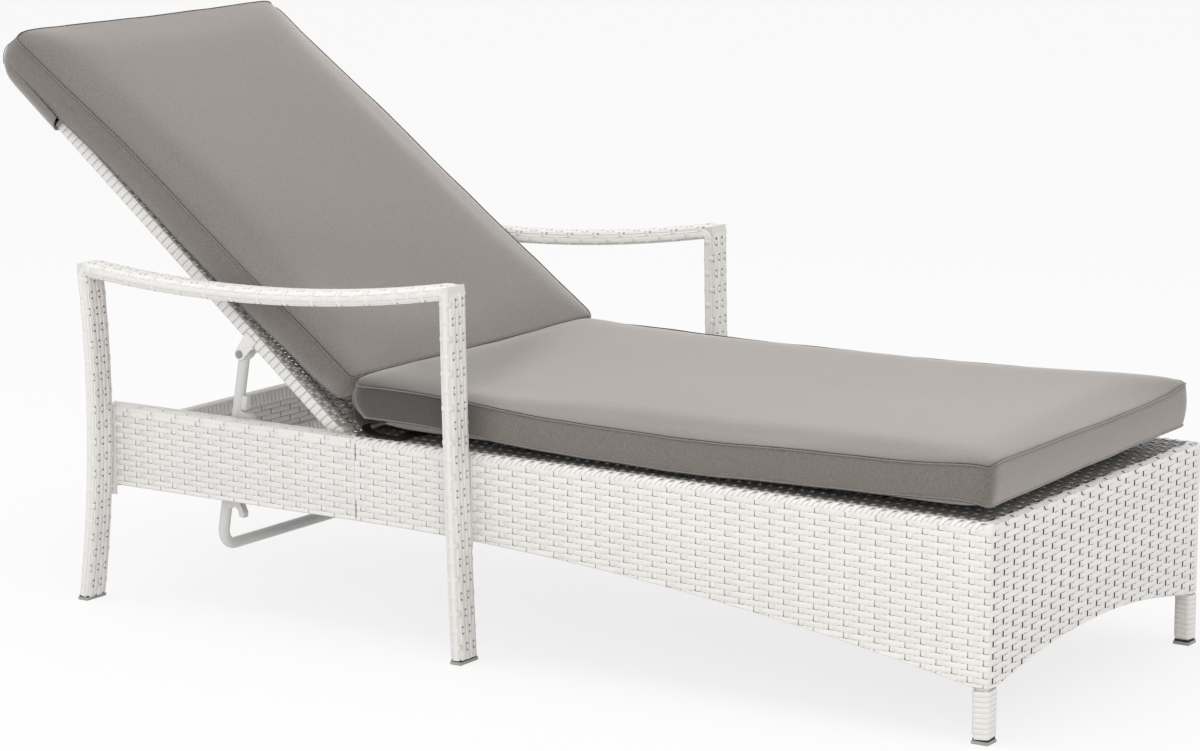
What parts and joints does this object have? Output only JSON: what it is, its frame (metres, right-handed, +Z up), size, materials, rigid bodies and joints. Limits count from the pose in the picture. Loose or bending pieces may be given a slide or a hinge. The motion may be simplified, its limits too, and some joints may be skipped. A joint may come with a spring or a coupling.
{
  "type": "reclining sun lounger",
  "caption": "Reclining sun lounger with a woven frame, arm loops, a hinged backrest on a prop bail and boxed cushions.",
  "frame": {"origin": "middle of the lounger's footprint at floor level, backrest in its resting notch", "axes": "+X towards the foot end, +Y to the left of a person lying on it, +Z up"},
  "size_m": [1.8282, 0.8, 0.9177],
  "materials": {
    "wicker": "satin",
    "frame_coat": "satin",
    "bail_coat": "satin",
    "cushion_fabric": "matte",
    "strap": "matte",
    "cap_plastic": "matte",
    "bush_nylon": "satin",
    "screw_steel": "brushed"
  },
  "bodies": {
    "base": {"arm_bolts": "screw_steel", "arm_foot_caps": "cap_plastic", "arm_plates": "frame_coat", "arm_tube_left": "frame_coat", "arm_tube_right": "frame_coat", "arm_wicker_left": "wicker", "arm_wicker_right": "wicker", "bottom_rail_left": "frame_coat", "bottom_rail_right": "frame_coat", "catch_bar": "frame_coat", "catch_post_left": "frame_coat", "catch_post_right": "frame_coat", "cushion_fold": "cushion_fabric", "cushion_strap": "strap", "front_apron": "wicker", "front_arch_tube": "frame_coat", "front_foot_caps": "cap_plastic", "front_leg_left": "frame_coat", "front_leg_right": "frame_coat", "front_leg_wrap_left": "wicker", "front_leg_wrap_right": "wicker", "front_rail": "frame_coat", "hinge_bolts": "screw_steel", "rear_apron": "wicker", "rear_post_left": "frame_coat", "rear_post_right": "frame_coat", "rear_rail_bottom": "frame_coat", "rear_rail_top": "frame_coat", "seat_crossbar_1": "frame_coat", "seat_crossbar_2": "frame_coat", "seat_crossbar_3": "frame_coat", "seat_cushion": "cushion_fabric", "seat_deck": "wicker", "seat_rear_bar": "frame_coat", "side_apron_front_left": "wicker", "side_apron_front_right": "wicker", "side_apron_middle_left": "wicker", "side_apron_middle_right": "wicker", "side_apron_rear_left": "wicker", "side_apron_rear_right": "wicker", "side_rail_left": "frame_coat", "side_rail_right": "frame_coat"},
    "hinge_bush": {"hinge_bushes": "bush_nylon"},
    "backrest": {"back_bottom_bar": "frame_coat", "back_crossbar_1": "frame_coat", "back_crossbar_2": "frame_coat", "back_cushion": "cushion_fabric", "back_deck": "wicker", "back_rail_left": "frame_coat", "back_rail_right": "frame_coat", "back_rail_wicker_left": "wicker", "back_rail_wicker_right": "wicker", "back_top_bar": "frame_coat", "bail_bracket_left": "bail_coat", "bail_bracket_right": "bail_coat", "bail_screws": "screw_steel"},
    "bail": {"bail": "bail_coat", "bail_catches": "bail_coat"}
  },
  "joints": [
    {"name": "recline_lower", "type": "hinge", "parent": "base", "child": "hinge_bush", "pos_m": [-0.24385, 0, 0.308], "axis": [0, 1, 0], "range_deg": [-39, 0], "deforming": ["cushion_fold"]},
    {"name": "recline_raise", "type": "hinge", "parent": "hinge_bush", "child": "backrest", "pos_m": [-0.24385, 0, 0.308], "axis": [0, 1, 0], "range_deg": [0, 21], "deforming": ["cushion_fold"]},
    {"name": "bail_swing", "type": "hinge", "parent": "backrest", "child": "bail", "pos_m": [-0.44316, 0, 0.42179], "axis": [0, 1, 0], "range_deg": [0, 90]}
  ],
  "couplings": [
    {"joint": "bail_swing", "follows": "recline_lower", "ratio": -2.3}
  ]
}
